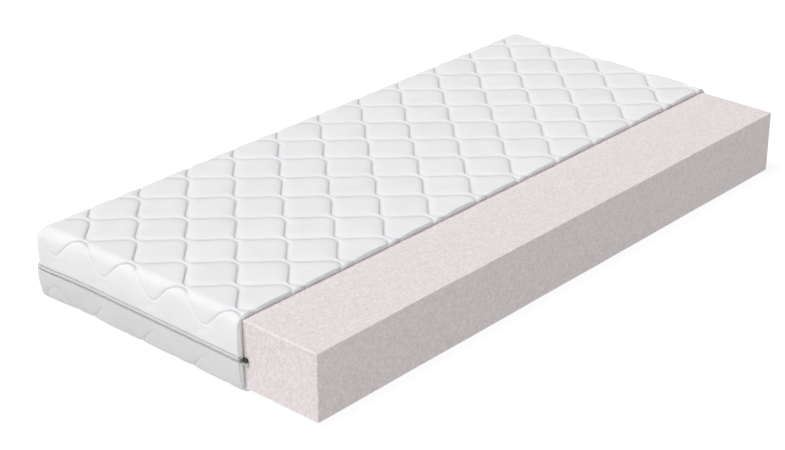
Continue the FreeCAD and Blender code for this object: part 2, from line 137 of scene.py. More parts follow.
def looped(loops):
    """Points and faces of a skin through closed loops, the last of which joins the first."""
    numbers = np.arange(len(loops) * len(loops[0])).reshape(len(loops), -1)
    numbers = np.concatenate([numbers, numbers[:1]], 0)
    return np.concatenate(loops), quads(np.concatenate([numbers, numbers[:, :1]], 1))


def outward_of(ring):
    """Unit directions out of an anticlockwise plan outline, one at each of its points."""
    tangent = np.roll(ring, -1, 0) - np.roll(ring, 1, 0)
    outward = np.stack([tangent[:, 1], -tangent[:, 0]], 1)
    return outward / np.linalg.norm(outward, axis=1)[:, None]


def noise_field(seed, waves=9):
    """A smooth random height over the plane, from a few crossed sine waves of unit height in all."""
    random = np.random.default_rng(seed)
    angle = random.uniform(0, 2 * np.pi, waves)
    scale = random.uniform(0.55, 1.6, waves)
    phase = random.uniform(0, 2 * np.pi, waves)

    def height(x, y, wavelength):
        total = np.zeros_like(np.asarray(x, float))
        for a, s, p in zip(angle, scale, phase):
            total += np.sin((x * np.cos(a) + y * np.sin(a)) * 2 * np.pi * s / wavelength + p)
        return total / math.sqrt(waves) / 1.6
    return height


# --- Stitch lines

def wave(y):
    """How far a stitch line's wave stands from its middle at y, and its slope. Crests are tangent arcs."""
    along = np.asarray(y, float) - FIRST_Y
    turn = np.round(along / (PERIOD / 2))
    offset = along - turn * PERIOD / 2
    sign = np.where(turn % 2 == 0, 1.0, -1.0)
    arc_end = BEND * math.sin(STEEP)
    near = np.minimum(np.abs(offset), arc_end)
    straight = (np.abs(offset) - near) * math.tan(STEEP)
    height = SWEEP - BEND + np.sqrt(BEND ** 2 - near ** 2) - straight
    slope = near / np.sqrt(BEND ** 2 - near ** 2)
    return sign * height, slope


def line_x(number, y):
    """Where a numbered stitch line crosses y. Even lines lean towards -X at FIRST_Y, odd ones to +X."""
    lean = np.where(np.asarray(number) % 2 == 0, -1.0, 1.0)
    return FIRST_X + (number + 0.5) * PITCH + lean * wave(y)[0]


def stitch_distance(x, y):
    """The distance from a point of the flat cloth to the nearest stitch line."""
    _, slope = wave(y)
    nearest = np.full(np.shape(x), 1.0)
    guess = np.round((x - FIRST_X) / PITCH - 0.5)
    for step in (-1, 0, 1):
        gap = np.abs(x - line_x(guess + step, y)) / np.sqrt(1 + slope ** 2)
        nearest = np.minimum(nearest, gap)
    return nearest


# --- The lid's net

ROW_STEP = 0.0062
CELL_COLUMNS = 12
# From the panel to an end wall's stitch line or the back wall's rim, from there to the hem strip, and in it
WALL_COLUMNS = (13, 11, 6)
FAN_STEPS = 12
PANEL_X = UPPER_HIGH.x - CORNER
PANEL_Y = UPPER_HIGH.y - CORNER
# The first and last stitch lines on the panel
FIRST_LINE = math.ceil((-PANEL_X - FIRST_X + SWEEP) / PITCH - 0.5)
LAST_LINE = math.floor((PANEL_X - FIRST_X) / PITCH - 0.5)


def crowded(count):
    """Fractions from 0 up to 1, without 1, crowded towards both ends."""
    return 0.5 * (1 - np.cos(np.pi * np.arange(count) / count))


def between(edges, counts):
    """Columns between neighbouring edges, crowded towards each, with the last edge itself."""
    columns = []
    for left, right, count in zip(edges[:-1], edges[1:], counts):
        columns += [left + (right - left) * fraction for fraction in crowded(count)]
    return np.stack(columns + [edges[-1]], 1)


def panel_columns(y, count):
    """X of every column on every row of the panel: one column lies on each stitch line."""
    inside = PANEL_X - 0.002
    edges = [np.full(len(y), -PANEL_X)]
    edges += [np.minimum(line_x(number, y), inside) for number in range(FIRST_LINE, LAST_LINE + 1)]
    edges.append(np.full(len(y), PANEL_X))
    return between(edges, [count] * (len(edges) - 1))


def wall_reaches(y, side, hem, counts):
    """The reach of every column on every row of an end wall, with one column on its stitch line."""
    number = FIRST_LINE - 1 if side < 0 else LAST_LINE + 1
    line = np.clip(side * line_x(number, y) - PANEL_X, 0.003, hem - 0.01)
    return between([np.zeros(len(y)), line, np.full(len(y), hem - HEM_STRIP), np.full(len(y), hem)], counts)


class Net:
    """The points of one lid: plan anchor, outward direction, reach, and place on the flat cloth."""

    def __init__(self, rim_end, hem, coarse=1):
        self.parts = []
        self.count = 0
        per_cell, *per_wall = [max(4, count // coarse) for count in (CELL_COLUMNS, *WALL_COLUMNS)]
        rows = np.linspace(CUT, PANEL_Y, round((PANEL_Y - CUT) / ROW_STEP / coarse) + 1)
        edges = [np.full(1, edge) for edge in (0, rim_end, hem - HEM_STRIP, hem)]
        down = between(edges, per_wall)[0]
        x = panel_columns(rows, per_cell)
        y = np.repeat(rows[:, None], x.shape[1], 1)
        panel = self.add(x, y, 0, 0, 0 * x, x, y)
        walls = {}
        for side, column in ((-1, 0), (1, -1)):
            reach = wall_reaches(rows, side, hem, per_wall)[:, 1:]
            y = np.repeat(rows[:, None], reach.shape[1], 1)
            wall = self.add(side * PANEL_X, y, side, 0, reach, side * (PANEL_X + reach), y)
            walls[side] = np.concatenate([panel[:, column][:, None], wall], 1)
        x = panel_columns(PANEL_Y + down[1:], per_cell)
        reach = np.repeat(down[1:, None], x.shape[1], 1)
        back = self.add(x, PANEL_Y, 0, 1, reach, x, PANEL_Y + reach)
        back = np.concatenate([panel[-1:], back], 0)
        fans = {}
        for side, column in ((-1, 0), (1, -1)):
            wall_reach = wall_reaches(rows[-1:], side, hem, per_wall)[0, 1:]
            fans[side] = self.fan(side, walls[side][-1], back[:, column], wall_reach, down[1:])
        grids = (panel, walls[-1][:, ::-1], walls[1], back, fans[-1][::-1], fans[1])
        self.faces = [face for grid in grids for face in quads(grid)]
        self.anchor, self.way, self.reach, self.cloth = (np.concatenate(v) for v in zip(*self.parts))
        self.open_rim = np.concatenate([walls[-1][0, ::-1], panel[0, 1:], walls[1][0, 1:]])
        self.hem = np.concatenate([walls[-1][:, -1], fans[-1][1:-1, -1], back[-1],
                                   fans[1][1:-1, -1][::-1], walls[1][::-1, -1]])

    def add(self, x, y, way_x, way_y, reach, cloth_x, cloth_y):
        """Adds a grid of points, and returns their numbers as a grid of the same shape."""
        full = np.ones(reach.shape)
        columns = [(value * full).ravel() for value in (x, y, way_x, way_y, reach, cloth_x, cloth_y)]
        self.parts.append((np.stack(columns[0:2], 1), np.stack(columns[2:4], 1), columns[4],
                           np.stack(columns[5:7], 1)))
        numbers = self.count + np.arange(reach.size).reshape(reach.shape)
        self.count += reach.size
        return numbers

    def fan(self, side, wall_column, back_column, wall_reach, back_reach):
        """The quarter turn at a back corner, between an end wall's last row and the back's first column."""
        share = np.arange(1, FAN_STEPS)[:, None] / FAN_STEPS
        turn = share * math.pi / 2
        reach = wall_reach + (back_reach - wall_reach) * share
        way_x = side * np.cos(turn)
        way_y = np.sin(turn)
        inner = self.add(side * PANEL_X, PANEL_Y, way_x, way_y, reach,
                         side * PANEL_X + way_x * reach, PANEL_Y + way_y * reach)
        pole = np.full((len(share), 1), wall_column[0])
        middle = np.concatenate([pole, inner], 1)
        return np.concatenate([wall_column[None], middle, back_column[None]], 0)

    def shell(self, outer, inner):
        """Points and faces of the closed layer between two faces of this net."""
        count = len(outer)
        faces = self.faces + [tuple(count + p for p in face[::-1]) for face in self.faces]
        for rim, flip in ((self.open_rim, False), (self.hem, True)):
            for a, b in zip(rim[:-1].tolist(), rim[1:].tolist()):
                side = (a, a + count, b + count, b)
                faces.append(side[::-1] if flip else side)
        return np.concatenate([outer, inner]), faces


# --- Lids

WALL_BULGE = 0.0020
WALL_RELIEF = 0.35  # share of the quilting's depth left at the foot of a wall
BACK_TAUT = 0.6  # share of the depth pulled out over the back rim
GROOVE = 0.0022  # distance over which the tight groove at a stitch line rises
PILLOW = 0.0130  # distance over which the pillow beside it rises
GROOVE_SHARE = 0.45  # of the depth; the pillow has the rest
THINNEST = 0.0006  # wadding that the quilting's depth leaves alone
PUCKER, PUCKER_RUN, PUCKER_FADE = 0.00022, 0.016, 0.012  # height, wavelength, distance from the stitches
SWELL, SWELL_RUN = 0.0006, 0.33  # of the whole face: height, wavelength
SHORTEST = 0.0004  # step for slopes
RISE = 0.0015  # how far the top may stand above the CAD's; the underside stays on the floor
STUFFED = 0.0055  # how far the wadding fills out the two back corners beyond their plan radius
SWOLLEN = 0.0060  # how far the walls stand proud beside those corners
SWOLLEN_RUN = 0.09  # how far along a wall that goes
FULLNESS = {"upper": 1.3, "piping": 1.5, "lower": 2.0}  # times the corners' swell


def turn_of(way):
    """How far into a back corner a point is: 0 on a wall, 1 at the middle of the turn."""
    return 2 * np.abs(way[:, 0] * way[:, 1])


def corner_swell(anchor, way):
    """How far the cover stands out beyond its plan outline near a back corner."""
    off = (PANEL_X - np.abs(anchor[:, 0])) + (PANEL_Y - anchor[:, 1])
    return STUFFED * turn_of(way) ** 2 + SWOLLEN * np.exp(-(off / SWOLLEN_RUN) ** 2)


class Lid:
    """One lid's surfaces. Its up is +1 for the upper lid and -1 for the lower one. Its rim is a radius, its
    depth and crown go down and up from the base face, and its walls lean out from the rim to the hem.
    """

    def __init__(self, name, up, base, hem_height, rim, depth, crown, lean, seed):
        self.name, self.up, self.base, self.rim = name, up, base, rim
        self.depth, self.crown, self.lean = depth, crown, lean
        self.flat = CORNER - rim
        self.rim_end = self.flat + rim * math.pi / 2
        self.hem = self.rim_end + abs(hem_height - base) - rim
        self.net = Net(self.rim_end, self.hem)
        self.inner_net = Net(self.rim_end, self.hem, coarse=2)
        self.swell = noise_field(seed)
        self.pucker = noise_field(seed + 1, 14)

    def outer_profile(self, reach):
        """How far out and down the ticking's outer face is at a reach. The wall bulges, then tucks in."""
        angle = np.clip((reach - self.flat) / self.rim, 0, math.pi / 2)
        out = np.minimum(reach, self.flat) * (1 - self.lean / self.flat) + self.rim * np.sin(angle)
        wall = np.maximum(reach - self.rim_end, 0)
        down = self.rim * (1 - np.cos(angle)) + wall
        tall = self.hem - self.rim_end
        drawn, start, end = TUCK[self.name]
        tuck = np.clip((start - (tall - wall)) / (start - end), 0, 1)
        out = out + WALL_BULGE * np.sin(np.pi * np.clip(wall / tall, 0, 1)) + self.lean * wall / tall
        return out - drawn * (1 - np.sqrt(1 - tuck ** 2)), down

    def outer_normal(self, reach):
        """The outward and upward parts of the outer face's normal."""
        out_a, down_a = self.outer_profile(np.maximum(reach - SHORTEST, 0))
        out_b, down_b = self.outer_profile(np.minimum(reach + SHORTEST, self.hem))
        across, along = down_b - down_a, out_b - out_a
        length = np.hypot(across, along)
        return across / length, along / length

    def lining_profile(self, reach, depth):
        """The same for the lining, which lies deeper and bends more tightly over the core's edge."""
        flat = CORNER - depth - LINING_RIM
        arc = LINING_RIM * math.pi / 2
        wall_start = flat + arc + self.rim - depth - LINING_RIM
        middle = (self.flat + self.rim_end) / 2
        run = np.interp(reach, [0, middle, self.rim_end, 1],
                        [0, flat + arc / 2, wall_start, wall_start + 1 - self.rim_end])
        angle = np.clip((run - flat) / LINING_RIM, 0, math.pi / 2)
        out = np.minimum(run, flat) + LINING_RIM * np.sin(angle)
        down = depth + LINING_RIM * (1 - np.cos(angle)) + np.maximum(run - flat - arc, 0)
        return out, down

    def relief(self, x, y, reach, turn):
        """Height of the quilted face above its base: down in the stitch lines, up on the pillows."""
        distance = stitch_distance(x, y)
        pillow = GROOVE_SHARE * (1 - np.exp(-distance / GROOVE))
        pillow = pillow + (1 - GROOVE_SHARE) * (1 - np.exp(-distance / PILLOW))
        out, down = self.outer_profile(reach)
        under_out, under_down = self.lining_profile(reach, LAYERS - BACKING)
        room = np.hypot(out - under_out, down - under_down) - TICKING - THINNEST
        fade = 1 - (1 - WALL_RELIEF) * np.clip((reach - 0.01) / 0.05, 0, 1)
        fade = fade * np.clip((self.hem - reach) / 0.03, 0, 1)
        fade = fade * (1 - 0.9 * turn ** 2 * np.clip(reach / 0.04, 0, 1))
        fade = fade * (1 - BACK_TAUT * np.clip((y - PANEL_Y) / 0.016, 0, 1))
        depth = np.minimum(self.depth * fade, 0.85 * room)
        height = depth * (pillow - 1) + self.crown * pillow * fade
        near_stitch = np.exp(-distance / PUCKER_FADE)
        height = height + PUCKER * near_stitch * fade * self.pucker(x, y, PUCKER_RUN)
        return height + SWELL * self.swell(x, y, SWELL_RUN) * np.clip((self.hem - reach) / 0.05, 0, 1)

    def to_points(self, anchor, way, out, down):
        z = self.base - self.up * down
        return np.stack([anchor[:, 0] + way[:, 0] * out, anchor[:, 1] + way[:, 1] * out, z], 1)

    def outer(self, anchor, way, reach, cloth, lift=0.0, lip=0.0):
        """Points of the quilted face, lifted off it along the base's normal, with a lip past the hem."""
        turn = turn_of(way)
        height = self.relief(cloth[:, 0], cloth[:, 1], reach, turn) + lift
        out, down = self.outer_profile(reach)
        full = FULLNESS[self.name] * np.clip(reach / self.rim_end, 0, 1) ** 2
        out = out + corner_swell(anchor, way) * full
        normal_out, normal_up = self.outer_normal(reach)
        down = down - normal_up * height + lip * np.clip((reach - self.hem) / 0.012 + 1, 0, 1)
        down = np.maximum(down, -RISE if self.up > 0 else 0.0)
        return self.to_points(anchor, way, out + normal_out * height, down)

    def net_outer(self, net, lift=0.0, lip=0.0):
        return self.outer(net.anchor, net.way, net.reach, net.cloth, lift, lip)

    def net_lining(self, net, depth):
        out, down = self.lining_profile(net.reach, depth)
        return self.to_points(net.anchor, net.way, out, down)

    def cloth_place(self, x, y, lift):
        """Points at places on the flat cloth, off the corners."""
        over_x = np.maximum(np.abs(x) - PANEL_X, 0)
        over_y = np.maximum(y - PANEL_Y, 0)
        anchor = np.stack([np.clip(x, -PANEL_X, PANEL_X), np.minimum(y, PANEL_Y)], 1)
        way = np.stack([np.sign(x) * (over_x > 0), 1.0 * ((over_y > 0) & (over_x == 0))], 1)
        return self.outer(anchor, way, np.maximum(over_x, over_y), np.stack([x, y], 1), lift)


# --- Materials

class Shader:
    """A small builder for one procedural material round a Principled shader."""

    def __init__(self, name, roughness, **fixed):
        self.material = bpy.data.materials.new(name)
        self.material.use_nodes = True
        self.tree = self.material.node_tree
        self.shader = self.tree.nodes["Principled BSDF"]
        self.shader.inputs["Roughness"].default_value = roughness
        for socket, value in fixed.items():
            self.shader.inputs[socket.replace("_", " ")].default_value = value
        self.place = self.node("ShaderNodeTexCoord").outputs["Object"]

    def node(self, kind, links=None, **settings):
        node = self.tree.nodes.new(kind)
        for key, value in settings.items():
            setattr(node, key, value)
        for socket, value in (links or {}).items():
            if isinstance(value, bpy.types.NodeSocket):
                self.tree.links.new(value, node.inputs[socket])
            else:
                node.inputs[socket].default_value = value
        return node

    def scaled(self, scale):
        """The place in the row frame, scaled along each axis."""
        return self.node("ShaderNodeMapping", {"Vector": self.place, "Scale": scale}).outputs["Vector"]

    def noise(self, scale, detail=3.0, roughness=0.55, place=None):
        links = {"Vector": place or self.place, "Scale": scale, "Detail": detail, "Roughness": roughness}
        return self.node("ShaderNodeTexNoise", links).outputs["Fac"]

    def cells(self, scale):
        return self.node("ShaderNodeTexVoronoi", {"Vector": self.place, "Scale": scale}).outputs["Distance"]

    def sine(self, direction, pitch, offset=None):
        """A sine of unit height across stripes of a given pitch."""
        along = self.node("ShaderNodeVectorMath", {0: self.place, 1: direction}, operation="DOT_PRODUCT")
        turns = self.maths("MULTIPLY", along.outputs["Value"], 2 * math.pi / pitch)
        if offset is not None:
            turns = self.maths("ADD", turns, offset)
        return self.maths("SINE", turns)

    def maths(self, operation, a, b=0.0, c=0.0):
        return self.node("ShaderNodeMath", {0: a, 1: b, 2: c}, operation=operation).outputs[0]

    def attribute(self, name):
        return self.node("ShaderNodeAttribute", attribute_name=name).outputs["Fac"]

    def ramp(self, factor, *stops):
        """Colours between stops of (position, colour)."""
        node = self.node("ShaderNodeValToRGB", {"Fac": factor})
        elements = node.color_ramp.elements
        while len(elements) < len(stops):
            elements.new(0.5)
        for element, (position, colour) in zip(elements, stops):
            element.position = position
            element.color = (*colour, 1)
        return node.outputs["Color"]

    def mix(self, factor, a, b):
        node = self.node("ShaderNodeMix", data_type="RGBA")
        for socket, value in zip((node.inputs[0], node.inputs[6], node.inputs[7]), (factor, a, b)):
            if isinstance(value, bpy.types.NodeSocket):
                self.tree.links.new(value, socket)
            else:
                socket.default_value = (*value, 1) if isinstance(value, tuple) else value
        return node.outputs[2]

    def colour(self, socket):
        self.tree.links.new(socket, self.shader.inputs["Base Color"])

    def rough(self, socket):
        self.tree.links.new(socket, self.shader.inputs["Roughness"])

    def bump(self, *layers):
        """Stacks bumps, each (height, distance in metres, strength)."""
        normal = None
        for height, distance, strength in layers:
            links = {"Height": height, "Distance": distance, "Strength": strength}
            if normal is not None:
                links["Normal"] = normal
            normal = self.node("ShaderNodeBump", links).outputs["Normal"]
        self.tree.links.new(normal, self.shader.inputs["Normal"])


def ticking_material(name, light, shade):
    """White fine-ribbed knit: ribs across the cloth, stitches within them, and painted shade in the seams."""
    s = Shader(name, 0.82, Sheen_Weight=0.25, Sheen_Roughness=0.45, Specular_IOR_Level=0.25)
    soft = s.noise(9.0, 4.0)
    tone = s.mix(s.ramp(soft, (0.35, (0, 0, 0)), (0.7, (1, 1, 1))), shade, light)
    wobble = s.maths("MULTIPLY", s.noise(240.0, 2.0), 1.6)
    rib = s.sine((0.71, 0.70, 0.30), 0.0062, wobble)
    loops = s.sine((0.70, -0.71, 0.25), 0.0021, wobble)
    knit = s.maths("MULTIPLY_ADD", rib, 0.7, s.maths("MULTIPLY", loops, 0.3))
    fleck = s.maths("MULTIPLY_ADD", knit, 0.5, 0.5)
    tone = s.mix(s.maths("MULTIPLY", fleck, 0.50), tone, shade)
    # Painted shade: the knit is darkened in the stitch grooves, as if in their own shadow.
    seam = s.attribute("seam")
    tone = s.mix(seam, tone, (0.42, 0.42, 0.44))
    s.colour(tone)
    s.bump((knit, 0.0004, 0.45), (s.noise(1400.0, 2.0), 0.0003, 0.25))
    return s.material


def foam_material():
    """Cut open-cell foam: fine cells, mottled pinkish off-white, with a painted highlight along its top and
    bottom edges.
    """
    s = Shader("foam_cut", 0.92, Sheen_Weight=0.15, Sheen_Roughness=0.6, Specular_IOR_Level=0.15)
    cells = s.cells(420.0)
    coarse = s.noise(140.0, 4.0, 0.65)
    wide = s.noise(3.0, 2.0)
    speck = s.noise(260.0, 3.0, 0.7)
    tone = s.ramp(coarse, (0.36, (0.655, 0.588, 0.592)), (0.52, (0.747, 0.682, 0.687)),
                  (0.68, (0.830, 0.772, 0.776)))
    tone = s.mix(s.ramp(speck, (0.50, (0, 0, 0)), (0.66, (0.7, 0.7, 0.7))), tone, (0.61, 0.535, 0.54))
    tone = s.mix(s.maths("MULTIPLY", wide, 0.14), tone, (0.80, 0.735, 0.735))
    # Painted highlight: the foam is paler along the block's eased top and bottom edges.
    tone = s.mix(s.maths("MULTIPLY", s.attribute("edge"), 0.30), tone, (0.90, 0.86, 0.86))
    s.colour(tone)
    s.bump((cells, 0.0010, 0.45), (s.noise(150.0, 5.0, 0.7), 0.0016, 0.35))
    return s.material


def wadding_material():
    """Loose white fibre, seen mostly at the cut."""
    s = Shader("wadding_fibre", 0.95, Sheen_Weight=0.3, Specular_IOR_Level=0.1)
    strands = s.noise(90.0, 6.0, 0.75, s.scaled((1.0, 1.0, 6.0)))
    s.colour(s.ramp(strands, (0.3, (0.80, 0.815, 0.82)), (0.7, (0.93, 0.94, 0.945))))
    s.bump((strands, 0.002, 0.6), (s.noise(900.0), 0.0006, 0.4))
    return s.material


def backing_material():
    """Thin bonded sheet with a fine grid of bond points."""
    s = Shader("backing_nonwoven", 0.85, Specular_IOR_Level=0.2)
    fibres = s.noise(500.0, 4.0, 0.7)
    points = s.cells(330.0)
    s.colour(s.ramp(fibres, (0.3, (0.74, 0.745, 0.75)), (0.7, (0.90, 0.90, 0.905))))
    s.bump((points, 0.0004, 0.4), (fibres, 0.0003, 0.3))
    return s.material


def woven_material(name, light, dark, pitch):
    """A plain weave tape in two tones."""
    s = Shader(name, 0.8, Sheen_Weight=0.15, Specular_IOR_Level=0.25)
    warp = s.sine((0.7, 0.7, 0.0), pitch)
    weft = s.sine((0.0, 0.0, 1.0), pitch)
    weave = s.maths("MULTIPLY", warp, weft)
    lit = s.maths("MULTIPLY_ADD", weave, 0.5, 0.5)
    tone = s.mix(lit, dark, light)
    tone = s.mix(s.maths("MULTIPLY", s.noise(35.0, 3.0), 0.25), tone, dark)
    s.colour(tone)
    s.bump((weave, 0.0002, 0.5), (s.noise(1500.0), 0.0001, 0.3))
    return s.material


def thread_material():
    """Twisted spun thread."""
    s = Shader("spun_thread", 0.7, Sheen_Weight=0.2, Specular_IOR_Level=0.3)
    twist = s.sine((0.6, 0.6, 0.5), 0.0007)
    s.colour(s.ramp(s.maths("MULTIPLY_ADD", twist, 0.5, 0.5),
                    (0.0, (0.66, 0.66, 0.67)), (1.0, (0.82, 0.82, 0.83))))
    s.bump((twist, 0.0001, 0.6))
    return s.material


def coil_material():
    """Off-white nylon, a little glossy, with slight clouding."""
    s = Shader("nylon_coil", 0.42, Specular_IOR_Level=0.45)
    s.colour(s.ramp(s.noise(120.0), (0.3, (0.74, 0.73, 0.70)), (0.7, (0.82, 0.81, 0.78))))
    s.rough(s.maths("MULTIPLY_ADD", s.noise(300.0), 0.2, 0.32))
    s.bump((s.noise(700.0), 0.0002, 0.2))
    return s.material


def metal_material():
    """Die-cast dark gunmetal, rubbed brighter in patches."""
    s = Shader("gunmetal", 0.38, Specular_IOR_Level=0.5, Metallic=1.0)
    wear = s.noise(260.0, 5.0, 0.7)
    s.colour(s.ramp(wear, (0.38, (0.075, 0.073, 0.07)), (0.66, (0.19, 0.185, 0.18)),
                    (0.80, (0.32, 0.32, 0.33))))
    s.rough(s.maths("MULTIPLY_ADD", wear, 0.35, 0.22))
    s.bump((s.noise(900.0, 3.0), 0.0002, 0.3))
    return s.material


# --- Foam core

EDGE = 0.0022
CUT_CORNER = 0.0035
PRESSED_CORNER = 0.012
CAP_RINGS = 14
WANDER = (0.0003, 0.0004, 0.0004)  # of the block's faces, along each axis


def rounded(low, high, corners, steps=6):
    """A rectangle's outline, anticlockwise, with a radius for each corner."""
    (left, front), (right, back) = Vector(low[:2]), Vector(high[:2])
    centres = ((left, front, 1, 1, 180), (right, front, -1, 1, 270),
               (right, back, -1, -1, 0), (left, back, 1, -1, 90))
    outline = []
    for (x, y, in_x, in_y, start), radius in zip(centres, corners):
        for step in range(steps + 1):
            angle = math.radians(start + 90 * step / steps)
            outline.append((x + in_x * radius + radius * math.cos(angle),
                            y + in_y * radius + radius * math.sin(angle)))
    return outline


def along_outline(outline, step):
    """Adds points on the outline's long straight runs."""
    points = []
    for a, b in zip(outline, outline[1:] + outline[:1]):
        run = math.dist(a, b)
        parts = max(1, round(run / step))
        points += [(a[0] + (b[0] - a[0]) * k / parts, a[1] + (b[1] - a[1]) * k / parts)
                   for k in range(parts)]
    return np.array(points)


def make_foam(material):
    """The block, cut slightly unevenly, with eased edges and a shallow wander over its faces."""
    low, high = CORE_LOW, CORE_HIGH
    corners = (CUT_CORNER, CUT_CORNER, PRESSED_CORNER, PRESSED_CORNER)
    ring = along_outline(rounded(low, high, corners, 5), 0.022)
    centre = np.array([(low.x + high.x) / 2, (low.y + high.y) / 2])
    outward = outward_of(ring)
    turn = np.linspace(0, math.pi / 2, 4)
    eased = [(-EDGE + EDGE * math.sin(t), low.z + EDGE - EDGE * math.cos(t)) for t in turn]
    heights = np.linspace(low.z + EDGE, high.z - EDGE, 12)[1:-1]
    heights = [low.z + EDGE + 0.002, *heights, high.z - EDGE - 0.002]
    rows = eased + [(0.0, z) for z in heights]
    rows += [(-EDGE + EDGE * math.cos(t), high.z - EDGE + EDGE * math.sin(t)) for t in turn]
    points, edge = [], []
    for inset, z in rows:
        xy = ring + outward * inset
        points.append(np.column_stack([xy, np.full(len(ring), z)]))
        # Rows on the eased top and bottom edges carry the painted highlight in the foam's colour.
        near = min(abs(z - low.z), abs(z - high.z)) < EDGE * 1.01
        edge.append(np.full(len(ring), 1.0 if near else 0.0))
    count = len(ring)
    numbers = np.arange(len(rows) * count).reshape(len(rows), count)
    faces = quads(np.concatenate([numbers, numbers[:, :1]], 1))
    total = len(rows) * count
    shrinks = [0.996] + [1 - step / CAP_RINGS for step in range(1, CAP_RINGS)]
    for last, rim, flip in ((numbers[0], points[0], True), (numbers[-1], points[-1], False)):
        for shrink in shrinks:
            xy = centre + (rim[:, :2] - centre) * shrink
            points.append(np.column_stack([xy, rim[:, 2]]))
            edge.append(np.zeros(count))
            ringed = total + np.arange(count)
            total += count
            band = np.stack([np.append(last, last[0]), np.append(ringed, ringed[0])])
            faces += quads(band[::-1] if flip else band)
            last = ringed
        points.append(np.array([[*centre, rim[0, 2]]]))
        edge.append(np.zeros(1))
        spokes = zip(last.tolist(), np.roll(last, -1).tolist())
        faces += [(total, b, a) if flip else (a, b, total) for a, b in spokes]
        total += 1
    points = np.concatenate(points)
    wander = noise_field(SEED + 20, 12)
    points[:, 2] += WANDER[2] * wander(points[:, 0], points[:, 1], 0.25)
    points[:, 1] += WANDER[1] * wander(points[:, 0], points[:, 2] * 3, 0.21)
    points[:, 0] += WANDER[0] * wander(points[:, 1], points[:, 2] * 3, 0.19)
    foam = make_piece("foam_block", points, faces, material, "foam", "foam", "foam_core",
                      {"edge": np.concatenate(edge)})


# --- Quilted lids

APART = 0.0001  # gap between two layers
SUNK, SUNK_RUN = 0.0020, 0.005  # how far the wadding is sunk at a stitch line, and over what distance
UNSUNK = 0.008  # distance from the cut over which that sets in
SEAM_SHADE, SEAM_SHADE_WIDTH = 0.66, 0.0026  # how dark the painted shade in a seam is, and how wide that is


def make_lid(lid, materials):
    """The lid's three layers. The painted shade in the seams fades over the rim and in the corners."""
    body = lid.name + "_cover"
    net, inner_net = lid.net, lid.inner_net
    # Painted shade in the stitch grooves, fading over the rim, in the back corners and towards the hem.
    distance = stitch_distance(net.cloth[:, 0], net.cloth[:, 1])
    fade = np.clip((lid.hem - net.reach) / 0.05, 0, 1) * (1 - 0.95 * turn_of(net.way))
    fade *= 1 - 0.92 * np.clip((net.reach - 0.004) / 0.018, 0, 1)
    seam = SEAM_SHADE * np.exp(-(distance / SEAM_SHADE_WIDTH) ** 2) * fade
    lip = LIP[lid.name]
    layer = net.shell(lid.net_outer(net, 0.0, lip), lid.net_outer(net, -TICKING, lip))
    node = f"{lid.name}_ticking"
    ticking = make_piece(f"{node}_knit", *layer, materials[node], body, "ticking", node,
                         {"seam": np.concatenate([seam, 0 * seam])})
    cloth_x, cloth_y = inner_net.cloth.T
    sunk = SUNK * np.exp(-stitch_distance(cloth_x, cloth_y) / SUNK_RUN)
    sunk = sunk * np.clip((cloth_y - CUT) / UNSUNK, 0, 1)
    layer = inner_net.shell(lid.net_outer(inner_net, -TICKING - APART - sunk),
                            lid.net_lining(inner_net, LAYERS - BACKING - APART))
    node = f"{lid.name}_wadding"
    wadding = make_piece(f"{node}_fibre", *layer, materials["wadding"], body, "wadding", node)
    layer = inner_net.shell(lid.net_lining(inner_net, LAYERS - BACKING), lid.net_lining(inner_net, LAYERS))
    node = f"{lid.name}_backing"
    backing = make_piece(f"{node}_sheet", *layer, materials["backing"], body, "backing", node)


STITCH = 0.0042
STITCH_GAP = 0.0006
THREAD = 0.00035
UNSTITCHED = 0.022  # height above the hem without quilting stitches


def tubes(starts, ends, lifts, radius, sides=4, rings=(-0.5, -0.3, 0.3, 0.5)):
    """Short tubes from starts to ends, bowed by their lifts at the two outer rings."""
    along = ends - starts
    length = np.linalg.norm(along, axis=1)[:, None]
    along = along / length
    across = np.cross(along, lifts)
    across /= np.linalg.norm(across, axis=1)[:, None]
    up = np.cross(across, along)
    middle = (starts + ends) / 2
    points = []
    for ring in rings:
        sunk = abs(ring) > 0.4
        size = radius * (0.55 if sunk else 1.0)
        centre = middle + along * length * ring - up * (radius * 1.3 if sunk else 0)
        for side in range(sides):
            angle = 2 * math.pi * side / sides
            points.append(centre + size * (across * math.cos(angle) + up * math.sin(angle)))
    points = np.stack(points, 1)
    block = len(rings) * sides
    one = capped(len(rings), sides)
    faces = [tuple(start + p for p in face) for start in range(0, len(starts) * block, block) for face in one]
    return points.reshape(-1, 3), faces


def make_quilting(lid, material):
    """The thread's stitches, laid end to end along every stitch line down to near the hem."""
    reach_end = lid.hem - UNSTITCHED
    last_x, last_y = PANEL_X + reach_end, PANEL_Y + reach_end
    fine = np.arange(CUT + 0.002, last_y, 0.0002)
    starts, ends = [], []
    for number in range(FIRST_LINE - 1, LAST_LINE + 2):
        x = line_x(number, fine)
        run = np.concatenate([[0], np.cumsum(np.hypot(np.diff(x), np.diff(fine)))])
        marks = np.arange(0.001, run[-1] - STITCH, STITCH)
        for half, store in ((0, starts), (STITCH - STITCH_GAP, ends)):
            y = np.interp(marks + half, run, fine)
            store.append(np.stack([line_x(number, y), y], 1))
    starts, ends = np.concatenate(starts), np.concatenate(ends)
    corner_x = np.abs(starts[:, 0]) > PANEL_X - 0.002
    keep = (np.abs(starts[:, 0]) < last_x) & ~(corner_x & (starts[:, 1] > PANEL_Y - 0.002))
    starts, ends = starts[keep], ends[keep]
    a = lid.cloth_place(starts[:, 0], starts[:, 1], THREAD * 0.6)
    b = lid.cloth_place(ends[:, 0], ends[:, 1], THREAD * 0.6)
    up = lid.cloth_place(starts[:, 0], starts[:, 1], THREAD * 3) - a
    make_piece(f"{lid.name}_quilting_stitches", *tubes(a, b, up, THREAD), material, f"{lid.name}_cover",
               "thread", f"{lid.name}_quilting_thread")


# --- Pieces that run round the cover

CORE_FACE = CORNER - (UPPER_HIGH.x - CORE_HIGH.x)


